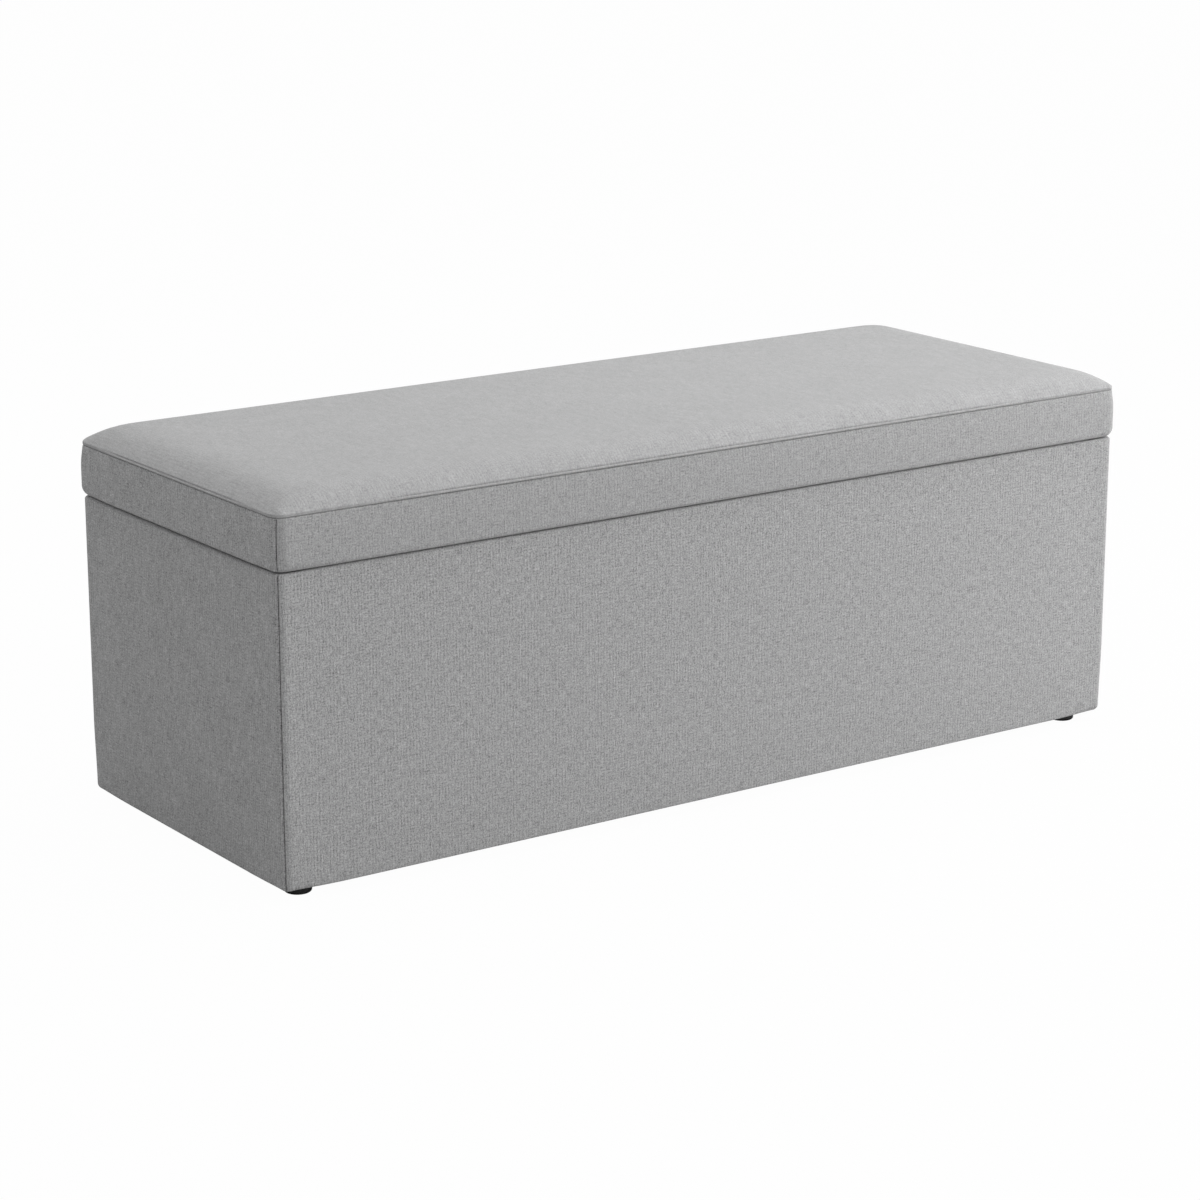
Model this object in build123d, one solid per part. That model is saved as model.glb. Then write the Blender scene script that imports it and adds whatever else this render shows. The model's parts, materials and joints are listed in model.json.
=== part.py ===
"""Upholstered storage bench: a padded box on low glides with a hinged, cushioned lid.

Millimetres. The origin is on the floor under the centre of the bench.
+X runs along its length, -Y is the front, +Y the hinged back and +Z is up.
The lid is modelled closed.
"""

from build123d import *
import math
import os

# ---- overall sizes -------------------------------------------------------------------------------
LENGTH = 1200.0  # over the lid's side bands
DEPTH = 458.0
HEIGHT = 455.4  # floor to the crown of the seat
OVERHANG = 4.0  # the lid stands this far proud of the box all round
GLIDE_HEIGHT = 12.8
BASE_TOP = 366.4  # top of the box's padded rim
SEAM_Z = 428.9  # seam between the lid's side bands and its top panel

# ---- sheet and padding thicknesses ---------------------------------------------------------------
FABRIC = 1.5
LINING = 1.0
CAMBRIC = 0.6
CAMBRIC_INSET = 15.0  # from the box's outer faces
PANEL = 15.0
BASE_FOAM = 5.5
LID_FOAM_SIDE = 7.5
LID_FOAM_BLOCK = 50.0

# ---- box -----------------------------------------------------------------------------------------
BASE_L = LENGTH - 2 * OVERHANG
BASE_D = DEPTH - 2 * OVERHANG
BASE_BOTTOM = GLIDE_HEIGHT + CAMBRIC  # underside of the turned-under cover
BASE_CORNER_R = 10.0
RIM_R = 6.0
BASE_FOOT_R = 7.0
RIM_DROP = 45.0  # the cover runs this far down inside the well
UNDER_TURN = 32.0  # and this far in under the box

PANEL_X = BASE_L / 2 - FABRIC - BASE_FOAM  # outer faces of the board box
PANEL_Y = BASE_D / 2 - FABRIC - BASE_FOAM
WELL_X = PANEL_X - PANEL  # inner faces of the board box
WELL_Y = PANEL_Y - PANEL
PANEL_BOTTOM = BASE_BOTTOM + FABRIC
PANEL_TOP = BASE_TOP - FABRIC
INNER_X = WELL_X - FABRIC - LINING  # faces of the lined well
INNER_Y = WELL_Y - FABRIC - LINING

RAIL_W, RAIL_H = 20.0, 30.0
BLOCK_W = 34.0
BOARD_T = 6.0
BOARD_Z = PANEL_BOTTOM + RAIL_H
FLOOR_Z = BOARD_Z + BOARD_T
BOARD_PLAY = 0.5
LINING_TOP = BASE_TOP - 20.0

# ---- glides --------------------------------------------------------------------------------------
GLIDE_R = 15.5
GLIDE_FOOT_R, GLIDE_RIM_R = 3.0, 0.8  # roundings on the floor and against the box
GLIDE_INSET_X, GLIDE_INSET_Y = 36.0, 35.0  # from the box's outer faces to a glide's centre
NAIL_R, NAIL_HEAD_R, NAIL_HEAD_T = 1.5, 5.0, 1.5
NAIL_HEAD_Z, NAIL_TOP = 4.0, GLIDE_HEIGHT + 24.0

# ---- lid -----------------------------------------------------------------------------------------
LEAF_T = 1.5
LID_GAP = 2 * LEAF_T
LID_BOTTOM = BASE_TOP + LID_GAP
LID_BOARD_X = LENGTH / 2 - FABRIC - LID_FOAM_SIDE
LID_BOARD_Y = DEPTH / 2 - FABRIC - LID_FOAM_SIDE
LID_BOARD_Z = LID_BOTTOM + FABRIC
LID_FOAM_Z = LID_BOARD_Z + PANEL
LID_CORNER_R = 16.0
LID_EDGE_R = 9.0  # rounding under the side bands
LID_TURN = 45.0  # the bands turn under the board this far
LID_LINING_X, LID_LINING_Y = INNER_X - 2.5, INNER_Y - 2.5
LID_LINING_T = 0.8

# Crown of the seat: (distance in from the edge, height over the seam), from the lip to the middle.
LIP = 4.0
CROWN_Y = [(24.0, 21.0), (70.0, 25.6)]  # across the depth
CROWN_X = [(24.0, 18.2), (70.0, 25.2)]  # along the length

# ---- hinges --------------------------------------------------------------------------------------
HINGE_XS = {"left": -420.0, "centre": 0.0, "right": 420.0}
AXIS_Y = DEPTH / 2 - 2.7
AXIS_Z = BASE_TOP + LEAF_T
KNUCKLE_R, PIN_R = 2.6, 1.3
KNUCKLES, KNUCKLE_LEN, KNUCKLE_GAP = 5, 12.0, 0.2
LEAF_LEN = KNUCKLES * KNUCKLE_LEN
LEAF_INNER_Y = WELL_Y - 1.0
LEAF_CORNER_R = 4.0
KNUCKLE_RELIEF = 0.3  # round the other leaf's knuckles
SCREW_Y = WELL_Y + PANEL / 2
SCREW_PITCH = 21.0
PIN_CLEARANCE = 0.05
SCREW_R, SCREW_HEAD_R, SCREW_LEN = 1.6, 3.2, 16.0
SCREW_TIP, SCREW_POINT_R = 3.0, 0.3
PIN_HEAD, PIN_HEAD_R = 0.8, 2.0

# ---- lid stays 
# The arm and the link form a parallelogram with the hinge axis, so the arm turns with the lid.
STAY_A = Vector(0, -142.0, -48.0)  # damper spindle, from the hinge axis
STAY_B = Vector(0, -149.2, -15.5)  # lid bracket pin, from the hinge axis
HOUSING_R, HOUSING_T, HOUSING_EDGE_R = 20.0, 14.0, 2.0
STAY_GAP = 0.5
ARM_T, LINK_T, BRACKET_T = 3.0, 2.5, 2.5
ARM_W, LINK_W = 16.0, 14.0
SPINDLE_R, KNEE_R, STUD_R = 5.0, 3.0, 3.0
BORE_START, SPINDLE_START = 3.0, 4.0  # past the face of the well's lining
RIVET_PLAY, RIVET_HEAD_T, RIVET_HEAD_R, RIVET_TAIL_T = 0.2, 1.5, 5.0, 1.2
STUD_PLAY = 0.3
OPEN_PIVOT_CLEARANCE = 0.15
PLATE_W, PLATE_L, PLATE_T, PLATE_CORNER_R = 26.0, 76.0, 2.5, 6.0
PLATE_SCREW_INSET = 8.0
TAB_DROP = 8.0
BRACKET_FOOT, BRACKET_LEN = 20.0, 40.0
BRACKET_SCREW_IN, BRACKET_SCREW_ALONG = 12.0, 12.0  # from the tab, and either way from the stud

# ---- fasteners and small trim --------------------------------------------------------------------
STAPLE_W, STAPLE_T, STAPLE_LEG = 10.0, 0.7, 6.0
STAPLE_STEP = 76.0
COVER_STAPLE_INSET, LID_STAPLE_INSET = 20.0, 6.0
BUMPER_R, BUMPER_INSET = 5.0, 30.0
SIDES = ("front", "back", "left", "right")


def block(x0, x1, y0, y1, z0, z1):
    """An axis-aligned box between two corners."""
    return Pos((x0 + x1) / 2, (y0 + y1) / 2, (z0 + z1) / 2) * Box(x1 - x0, y1 - y0, z1 - z0)


def slab(half_x, half_y, z0, z1):
    """A box centred on the Z axis."""
    return block(-half_x, half_x, -half_y, half_y, z0, z1)


def rod(x0, x1, y, z, radius):
    """A cylinder along X."""
    return Pos((x0 + x1) / 2, y, z) * Rot(0, 90, 0) * Cylinder(radius, abs(x1 - x0))


def post(x, y, z0, z1, radius):
    """A cylinder along Z."""
    return Pos(x, y, (z0 + z1) / 2) * Cylinder(radius, z1 - z0)


def rounded(half_x, half_y, z0, z1, corner_r, bottom_r, top_r=None):
    """A slab with rounded upright edges, then rounded bottom and top edges."""
    body = slab(half_x, half_y, z0, z1)
    body = fillet(body.edges().filter_by(Axis.Z), corner_r)
    body = fillet(body.faces().sort_by(Axis.Z)[0].edges(), bottom_r)
    if top_r:
        body = fillet(body.faces().sort_by(Axis.Z)[-1].edges(), top_r)
    return body


def mitre(side):
    """The share of the plan that belongs to one side, cut at 45 degrees through the box's corners."""
    x, y = LENGTH / 2, DEPTH / 2
    ridge = x - y
    outlines = {
        "front": [(-x, -y), (x, -y), (ridge, 0), (-ridge, 0)],
        "back": [(-x, y), (-ridge, 0), (ridge, 0), (x, y)],
        "left": [(-x, -y), (-ridge, 0), (-x, y)],
        "right": [(x, -y), (x, y), (ridge, 0)],
    }
    return extrude(make_face(Polyline(*outlines[side], close=True)), HEIGHT + 10)


def one(shape):
    """The single solid of a boolean result."""
    solids = shape.solids()
    assert len(solids) == 1, f"{len(solids)} solids where one was meant"
    return solids[0]


# ---- timber box ----------------------------------------------------------------------------------
def base_panels():
    """The four boards of the box: the ends stand between the front and the back."""
    z = (PANEL_BOTTOM, PANEL_TOP)
    return {
        "front": block(-PANEL_X, PANEL_X, -PANEL_Y, -WELL_Y, *z),
        "back": block(-PANEL_X, PANEL_X, WELL_Y, PANEL_Y, *z),
        "left": block(-PANEL_X, -WELL_X, -WELL_Y, WELL_Y, *z),
        "right": block(WELL_X, PANEL_X, -WELL_Y, WELL_Y, *z),
    }


def corners():
    """Names and signs of the four corners."""
    return {
        "front_left": (-1, -1),
        "front_right": (1, -1),
        "back_left": (-1, 1),
        "back_right": (1, 1),
    }


def corner_block(sx, sy):
    """Timber block inside a bottom corner, which the glide is nailed to."""
    x = sorted((sx * WELL_X, sx * (WELL_X - BLOCK_W)))
    y = sorted((sy * WELL_Y, sy * (WELL_Y - BLOCK_W)))
    return block(*x, *y, PANEL_BOTTOM, BOARD_Z)


def bottom_rails():
    """Rails that the bottom board lies on, between the corner blocks."""
    z = (PANEL_BOTTOM, BOARD_Z)
    long_x, short_y = WELL_X - BLOCK_W, WELL_Y - BLOCK_W
    return {
        "front": block(-long_x, long_x, -WELL_Y, -WELL_Y + RAIL_W, *z),
        "back": block(-long_x, long_x, WELL_Y - RAIL_W, WELL_Y, *z),
        "left": block(-WELL_X, -WELL_X + RAIL_W, -short_y, short_y, *z),
        "right": block(WELL_X - RAIL_W, WELL_X, -short_y, short_y, *z),
        "centre": block(-RAIL_W / 2, RAIL_W / 2, -WELL_Y + RAIL_W, WELL_Y - RAIL_W, *z),
    }


# ---- box upholstery ------------------------------------------------------------------------------
def base_envelope(inset):
    """The upholstered box's outer shape, drawn in by inset."""
    return rounded(
        BASE_L / 2 - inset,
        BASE_D / 2 - inset,
        BASE_BOTTOM + inset,
        BASE_TOP - inset,
        BASE_CORNER_R - inset,
        BASE_FOOT_R - inset,
        RIM_R - inset,
    )


def base_foams():
    """Thin foam glued to the outside of each board."""
    wrap = base_envelope(FABRIC) - slab(PANEL_X, PANEL_Y, PANEL_BOTTOM - 1, PANEL_TOP + 1)
    far = LENGTH
    zones = {
        "front": block(-far, far, -far, -PANEL_Y, 0, HEIGHT),
        "back": block(-far, far, PANEL_Y, far, 0, HEIGHT),
        "left": block(-far, -PANEL_X, -PANEL_Y, PANEL_Y, 0, HEIGHT),
        "right": block(PANEL_X, far, -PANEL_Y, PANEL_Y, 0, HEIGHT),
    }
    return {side: one(wrap & zone) for side, zone in zones.items()}


def base_covers():
    """Fabric panels: down the outside, over the rim, down inside the well and turned under the box."""
    skin = base_envelope(0) - base_envelope(FABRIC)
    skin -= slab(WELL_X, WELL_Y, PANEL_TOP - 1, BASE_TOP + 1)
    skin -= slab(BASE_L / 2 - UNDER_TURN, BASE_D / 2 - UNDER_TURN, 0, PANEL_BOTTOM + 1)
    drop = slab(WELL_X, WELL_Y, BASE_TOP - RIM_DROP, BASE_TOP)
    drop -= slab(WELL_X - FABRIC, WELL_Y - FABRIC, BASE_TOP - RIM_DROP - 1, BASE_TOP + 1)
    skin += drop
    return {side: one(skin & mitre(side)) for side in SIDES}


def well_lining_walls():
    """Lining round the inside of the well."""
    walls = slab(WELL_X - FABRIC, WELL_Y - FABRIC, FLOOR_Z, LINING_TOP)
    return walls - slab(INNER_X, INNER_Y, FLOOR_Z - 1, LINING_TOP + 1)


def dust_cover():
    """Cambric under the box, inset from its edge."""
    return slab(BASE_L / 2 - CAMBRIC_INSET, BASE_D / 2 - CAMBRIC_INSET, GLIDE_HEIGHT, BASE_BOTTOM)


# ---- glides --------------------------------------------------------------------------------------
def nail(x, y):
    """Headed nail that holds a glide in its corner block."""
    shank = post(x, y, NAIL_HEAD_Z, NAIL_TOP, NAIL_R)
    return one(shank + post(x, y, NAIL_HEAD_Z, NAIL_HEAD_Z + NAIL_HEAD_T, NAIL_HEAD_R))


def glide(x, y):
    """Low round plastic foot moulded round a nail."""
    body = post(x, y, 0, GLIDE_HEIGHT, GLIDE_R)
    body = fillet(body.edges().sort_by(Axis.Z)[0], GLIDE_FOOT_R)
    body = fillet(body.edges().sort_by(Axis.Z)[-1], GLIDE_RIM_R)
    return one(body - nail(x, y))


def glide_places():
    """Centre of the glide at each corner."""
    x, y = BASE_L / 2 - GLIDE_INSET_X, BASE_D / 2 - GLIDE_INSET_Y
    return {name: (sx * x, sy * y) for name, (sx, sy) in corners().items()}


# ---- lid upholstery ------------------------------------------------------------------------------
def crown_profile(half, knees, inset):
    """Section of the lid: up the band, round the edge in two arcs, a shallow arc over the top.

    Drawn with the section's horizontal as X and its vertical as Y.
    """
    edge = half - inset
    lip = SEAM_Z + LIP - inset
    (in_1, up_1), (in_2, up_2) = knees
    knee_1 = (half - in_1, SEAM_Z + up_1 - inset)
    knee_2 = (half - in_2, SEAM_Z + up_2 - inset)
    top = HEIGHT - inset
    crest = ThreePointArc((-knee_2[0], knee_2[1]), (0, top), knee_2)
    shoulder = TangentArc(knee_2, knee_1, tangent=crest % 1)
    edge_arc = TangentArc(knee_1, (edge, lip), tangent=shoulder % 1)
    right = [shoulder, edge_arc]
    left = [mirror(curve, Plane.YZ) for curve in right]
    low = LID_BOTTOM - 5
    box_lines = Polyline((edge, lip), (edge, low), (-edge, low), (-edge, lip))
    return make_face([crest, *right, *left, box_lines])


def lid_envelope(inset):
    """The upholstered lid's outer shape, drawn in by inset."""
    half_x, half_y = LENGTH / 2, DEPTH / 2
    body = rounded(
        half_x - inset,
        half_y - inset,
        LID_BOTTOM + inset,
        HEIGHT + 5,
        LID_CORNER_R - inset,
        LID_EDGE_R - inset,
    )
    along_y = Plane.XZ * crown_profile(half_x, CROWN_X, inset)
    along_x = Plane.YZ * crown_profile(half_y, CROWN_Y, inset)
    body &= extrude(along_y, DEPTH, both=True)
    body &= extrude(along_x, LENGTH, both=True)
    return one(body)


def lid_shells():
    """Fabric top panel, the four side bands with their turned-under edges, and the wadding."""
    outer, inner = lid_envelope(0), lid_envelope(FABRIC)
    skin = outer - inner
    top = one(skin & slab(LENGTH, DEPTH, SEAM_Z, HEIGHT + 10))
    bands = skin & slab(LENGTH, DEPTH, 0, SEAM_Z)
    bands -= slab(LENGTH / 2 - LID_TURN, DEPTH / 2 - LID_TURN, 0, LID_BOARD_Z + 1)
    core = slab(LID_BOARD_X, LID_BOARD_Y, LID_BOARD_Z - 1, LID_FOAM_Z + LID_FOAM_BLOCK)
    return top, {side: one(bands & mitre(side)) for side in SIDES}, one(inner - core)


# ---- hinges --------------------------------------------------------------------------------------
def wood_screw(x, y, z, up):
    """Countersunk wood screw with its head's flat at z, driven up or down."""
    stands = (Align.CENTER, Align.CENTER, Align.MIN)
    shank_end = SCREW_LEN - SCREW_TIP
    head = Cone(SCREW_HEAD_R, SCREW_R, LEAF_T, align=stands)
    shank = Pos(0, 0, LEAF_T) * Cylinder(SCREW_R, shank_end - LEAF_T, align=stands)
    tip = Pos(0, 0, shank_end) * Cone(SCREW_R, SCREW_POINT_R, SCREW_TIP, align=stands)
    turn = Rot(0, 0, 0) if up else Rot(180, 0, 0)
    return one(Pos(x, y, z) * turn * (head + shank + tip))


def hinge_screws(up):
    """Three screws through each hinge's leaf, up into the lid or down into the box."""
    places = [x + i * SCREW_PITCH for x in HINGE_XS.values() for i in (-1, 0, 1)]
    return [wood_screw(x, SCREW_Y, AXIS_Z, up) for x in places]


def leaf(x, screws, lid_side):
    """One hinge leaf: a plate and every other knuckle, bored for the pin."""
    x0, x1 = x - LEAF_LEN / 2, x + LEAF_LEN / 2
    z0, z1 = (AXIS_Z, AXIS_Z + LEAF_T) if lid_side else (AXIS_Z - LEAF_T, AXIS_Z)
    plate = block(x0, x1, LEAF_INNER_Y, AXIS_Y, z0, z1)
    corner_edges = plate.edges().filter_by(Axis.Z).sort_by(Axis.Y)[:2]
    plate = fillet(corner_edges, LEAF_CORNER_R)
    bore = PIN_R + (PIN_CLEARANCE if lid_side else 0)
    for i in range(KNUCKLES):
        k0, k1 = x0 + i * KNUCKLE_LEN, x0 + (i + 1) * KNUCKLE_LEN
        if (i % 2 == 1) == lid_side:
            plate += rod(k0, k1, AXIS_Y, AXIS_Z, KNUCKLE_R)
    for i in range(KNUCKLES):
        k0 = x0 + i * KNUCKLE_LEN - KNUCKLE_GAP / 2
        k1 = x0 + (i + 1) * KNUCKLE_LEN + KNUCKLE_GAP / 2
        if (i % 2 == 1) != lid_side:
            plate -= rod(k0, k1, AXIS_Y, AXIS_Z, KNUCKLE_R + KNUCKLE_RELIEF)
    plate -= rod(x0 - 1, x1 + 1, AXIS_Y, AXIS_Z, bore)
    for screw in screws:
        plate -= screw
    return one(plate)


def hinge_pin(x):
    """Hinge pin, headed at both ends."""
    half = LEAF_LEN / 2
    pin = rod(x - half, x + half, AXIS_Y, AXIS_Z, PIN_R)
    for sign in (-1, 1):
        pin += rod(x + sign * half, x + sign * (half + PIN_HEAD), AXIS_Y, AXIS_Z, PIN_HEAD_R)
    return one(pin)


# ---- lid stays -----------------------------------------------------------------------------------
AXIS = Vector(0, AXIS_Y, AXIS_Z)
PIVOT_A = AXIS + STAY_A
PIVOT_B = AXIS + STAY_B
PIVOT_K = PIVOT_A + STAY_B  # the knee completes the parallelogram


def stay_xs():
    """Distances from the bench's middle of each layer's faces, from the wall inwards."""
    wall = INNER_X
    plate = wall - PLATE_T
    housing = wall - HOUSING_T
    arm = housing - STAY_GAP
    link = arm - ARM_T - STAY_GAP
    tab = link - LINK_T - STAY_GAP
    return {"wall": wall, "plate": plate, "housing": housing, "arm": arm, "link": link, "tab": tab}


def bar(sx, x_outer, thickness, p, q, width):
    """A flat bar with round ends between two points of a YZ plane."""
    length = (q - p).length
    angle = math.degrees(math.atan2(q.Z - p.Z, q.Y - p.Y))
    middle = (p + q) * 0.5
    flat = extrude(SlotCenterToCenter(length, width), thickness / 2, both=True)
    x = sx * (x_outer - thickness / 2)
    return Pos(x, middle.Y, middle.Z) * Rot(angle, 0, 0) * (Plane.YZ * flat)


def cross_rod(sx, x_outer, x_inner, point, radius):
    """A cylinder along X on one side of the bench, between two distances from its middle."""
    return rod(sx * x_outer, sx * x_inner, point.Y, point.Z, radius)


def stay_screws(sx):
    """Two screws through the damper's plate into the side board, and two through the lid bracket."""
    xs = stay_xs()
    side, lid = [], []
    turn = Rot(0, 90 * sx, 0)
    lid_x = sx * (xs["tab"] - BRACKET_SCREW_IN)
    lid_z = LID_BOTTOM - LID_LINING_T - BRACKET_T
    for dy in (-1, 1):
        side_y = PIVOT_A.Y + dy * (PLATE_L / 2 - PLATE_SCREW_INSET)
        place = Pos(sx * xs["plate"], side_y, PIVOT_A.Z)
        side.append(place * turn * wood_screw(0, 0, 0, up=True))
        lid.append(wood_screw(lid_x, PIVOT_B.Y + dy * BRACKET_SCREW_ALONG, lid_z, up=True))
    return side, lid


def stay_damper(sx, screws):
    """Rotary damper in a round housing on a plate that is screwed to the side board."""
    xs = stay_xs()
    plate = block(
        *sorted((sx * xs["plate"], sx * xs["wall"])),
        PIVOT_A.Y - PLATE_L / 2,
        PIVOT_A.Y + PLATE_L / 2,
        PIVOT_A.Z - PLATE_W / 2,
        PIVOT_A.Z + PLATE_W / 2,
    )
    plate = fillet(plate.edges().filter_by(Axis.X), PLATE_CORNER_R)
    can = cross_rod(sx, xs["wall"], xs["housing"], PIVOT_A, HOUSING_R)
    rim = can.edges().sort_by(Axis.X)[-1 if sx < 0 else 0]
    body = plate + fillet(rim, HOUSING_EDGE_R)
    bore_start = xs["wall"] - BORE_START
    body -= cross_rod(sx, bore_start, xs["housing"] - 1, PIVOT_A, SPINDLE_R + PIN_CLEARANCE)
    for screw in screws:
        body -= screw
    return one(body)


def stay_arm(sx):
    """Damper arm with its spindle, bored for the knee rivet."""
    xs = stay_xs()
    arm = bar(sx, xs["arm"], ARM_T, PIVOT_A, PIVOT_K, ARM_W)
    arm += cross_rod(sx, xs["wall"] - SPINDLE_START, xs["arm"] - ARM_T, PIVOT_A, SPINDLE_R)
    arm -= cross_rod(sx, xs["arm"] + 1, xs["arm"] - ARM_T - 1, PIVOT_K, KNEE_R)
    return one(arm)


def knee_rivet(sx):
    """Rivet fast in the arm, which the link turns on."""
    xs = stay_xs()
    head = xs["link"] - LINK_T - RIVET_PLAY
    rivet = cross_rod(sx, xs["arm"], head, PIVOT_K, KNEE_R)
    rivet += cross_rod(sx, head, head - RIVET_HEAD_T, PIVOT_K, RIVET_HEAD_R)
    return one(rivet + cross_rod(sx, xs["arm"] + RIVET_TAIL_T, xs["arm"], PIVOT_K, RIVET_HEAD_R))


def stay_link(sx):
    """Link from the knee to the lid bracket; it keeps its direction as the lid turns."""
    xs = stay_xs()
    through = (xs["link"] + 1, xs["link"] - LINK_T - 1)
    link = bar(sx, xs["link"], LINK_T, PIVOT_B, PIVOT_K, LINK_W)
    link -= cross_rod(sx, *through, PIVOT_K, KNEE_R + PIN_CLEARANCE)
    return one(link - cross_rod(sx, *through, PIVOT_B, STUD_R + OPEN_PIVOT_CLEARANCE))


def stay_bracket(sx, screws):
    """Angle under the lid with the stud that carries the link."""
    xs = stay_xs()
    top = LID_BOTTOM - LID_LINING_T
    y0, y1 = PIVOT_B.Y - BRACKET_LEN / 2, PIVOT_B.Y + BRACKET_LEN / 2
    foot_x = sorted((sx * xs["tab"], sx * (xs["tab"] - BRACKET_FOOT)))
    foot = block(*foot_x, y0, y1, top - BRACKET_T, top)
    tab = block(
        *sorted((sx * xs["tab"], sx * (xs["tab"] - BRACKET_T))),
        PIVOT_B.Y - TAB_DROP,
        PIVOT_B.Y + TAB_DROP,
        PIVOT_B.Z,
        top,
    )
    tab += cross_rod(sx, xs["tab"], xs["tab"] - BRACKET_T, PIVOT_B, TAB_DROP)
    body = foot + tab + cross_rod(sx, xs["link"] + STUD_PLAY, xs["tab"], PIVOT_B, STUD_R)
    for screw in screws:
        body -= screw
    return one(body)


# ---- staples -------------------------------------------------------------------------------------
def staple(x, y, z, along_x):
    """Staple whose crown lies under the face at z, with its legs going up."""
    crown = block(-STAPLE_W / 2, STAPLE_W / 2, -STAPLE_T / 2, STAPLE_T / 2, -STAPLE_T, 0)
    for sign in (-1, 1):
        leg = sorted((sign * STAPLE_W / 2, sign * (STAPLE_W / 2 - STAPLE_T)))
        crown += block(*leg, -STAPLE_T / 2, STAPLE_T / 2, -STAPLE_T, STAPLE_LEG)
    return one(Pos(x, y, z) * Rot(0, 0, 0 if along_x else 90) * crown)


def staple_ring(half_x, half_y, z):
    """Evenly spaced staples round a rectangle."""
    count_x = round(2 * half_x / STAPLE_STEP)
    count_y = round(2 * half_y / STAPLE_STEP)
    ring = []
    for i in range(count_x):
        x = -half_x + (i + 0.5) * 2 * half_x / count_x
        ring += [staple(x, sy * half_y, z, True) for sy in (-1, 1)]
    for i in range(count_y):
        y = -half_y + (i + 0.5) * 2 * half_y / count_y
        ring += [staple(sx * half_x, y, z, False) for sx in (-1, 1)]
    return ring


def drilled(body, tools):
    """body with each tool's space taken out of it."""
    return one(body - list(tools))


# ---- assembly ------------------------------------------------------------------------------------
def box_nodes(nails, hinge_side, damper_side, staples):
    """The box: its timber, padding, covers, linings and feet."""
    nodes = {}
    for side, panel in base_panels().items():
        tools = hinge_side if side == "back" else damper_side[side]
        nodes[f"base_panel_{side}"] = drilled(panel, tools + staples)
    nodes["corner_blocks"] = [
        drilled(corner_block(*signs), [nails[name]]) for name, signs in corners().items()
    ]
    for side, rail in bottom_rails().items():
        nodes[f"bottom_rail_{side}"] = rail
    nodes["bottom_board"] = slab(WELL_X - BOARD_PLAY, WELL_Y - BOARD_PLAY, BOARD_Z, FLOOR_Z)
    for side, foam in base_foams().items():
        nodes[f"base_foam_{side}"] = foam
    for side, cover in base_covers().items():
        tools = hinge_side if side == "back" else damper_side[side]
        nodes[f"base_cover_{side}"] = drilled(cover, tools + staples + list(nails.values()))
    wall_tools = damper_side["left"] + damper_side["right"]
    nodes["well_lining_walls"] = drilled(well_lining_walls(), wall_tools)
    nodes["well_lining_floor"] = slab(INNER_X, INNER_Y, FLOOR_Z, FLOOR_Z + LINING)
    nodes["dust_cover"] = drilled(dust_cover(), list(nails.values()) + staples)
    for name, (x, y) in glide_places().items():
        nodes[f"glide_{name}"] = glide(x, y)
    nodes["glide_nails"] = list(nails.values())
    nodes["dust_cover_staples"] = staples
    bumper_x = WELL_X - BUMPER_INSET
    nodes["rim_bumpers"] = [
        post(x, -SCREW_Y, BASE_TOP, LID_BOTTOM, BUMPER_R) for x in (-bumper_x, bumper_x)
    ]
    return nodes


def hinge_nodes(base_screws, lid_screws):
    """Three butt hinges along the back."""
    nodes = {}
    for side, x in HINGE_XS.items():
        nodes[f"hinge_{side}_base_leaf"] = leaf(x, base_screws, lid_side=False)
        nodes[f"hinge_{side}_lid_leaf"] = leaf(x, lid_screws, lid_side=True)
    nodes["hinge_pins"] = [hinge_pin(x) for x in HINGE_XS.values()]
    return nodes


def lid_nodes(screws, staples):
    """The lid: its board, padding, cover and lining."""
    tools = screws + staples
    nodes = {}
    nodes["lid_board"] = drilled(slab(LID_BOARD_X, LID_BOARD_Y, LID_BOARD_Z, LID_FOAM_Z), tools)
    nodes["lid_foam"] = slab(LID_BOARD_X, LID_BOARD_Y, LID_FOAM_Z, LID_FOAM_Z + LID_FOAM_BLOCK)
    nodes["lid_top_panel"], bands, nodes["lid_wadding"] = lid_shells()
    for side in SIDES:
        nodes[f"lid_band_{side}"] = drilled(bands[side], tools)
    lining = slab(LID_LINING_X, LID_LINING_Y, LID_BOTTOM - LID_LINING_T, LID_BOTTOM)
    nodes["lid_lining"] = drilled(lining, tools)
    nodes["lid_staples"] = staples
    return nodes


def stay_nodes(side, sx, damper_screws, bracket_screws):
    """One lid stay."""
    return {
        f"stay_damper_{side}": stay_damper(sx, damper_screws),
        f"stay_arm_{side}": stay_arm(sx),
        f"stay_knee_rivet_{side}": knee_rivet(sx),
        f"stay_link_{side}": stay_link(sx),
        f"stay_bracket_{side}": stay_bracket(sx, bracket_screws),
    }


def build():
    """Every node of the bench by name: a solid, or a list of solids for a group."""
    nails = {name: nail(x, y) for name, (x, y) in glide_places().items()}
    base_screws, lid_screws = hinge_screws(up=False), hinge_screws(up=True)
    cover_staples = staple_ring(
        BASE_L / 2 - COVER_STAPLE_INSET, BASE_D / 2 - COVER_STAPLE_INSET, GLIDE_HEIGHT
    )
    lid_staples = staple_ring(
        LID_LINING_X - LID_STAPLE_INSET, LID_LINING_Y - LID_STAPLE_INSET, LID_BOTTOM - LID_LINING_T
    )
    left_side, left_lid = stay_screws(-1)
    right_side, right_lid = stay_screws(1)
    damper_screws = {"front": [], "left": left_side, "right": right_side}

    nodes = box_nodes(nails, base_screws, damper_screws, cover_staples)
    nodes.update(hinge_nodes(base_screws, lid_screws))
    nodes["base_wood_screws"] = base_screws + left_side + right_side
    nodes["lid_wood_screws"] = lid_screws + left_lid + right_lid
    nodes.update(lid_nodes(nodes["lid_wood_screws"], lid_staples))
    nodes.update(stay_nodes("left", -1, left_side, left_lid))
    nodes.update(stay_nodes("right", 1, right_side, right_lid))
    return nodes


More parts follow.
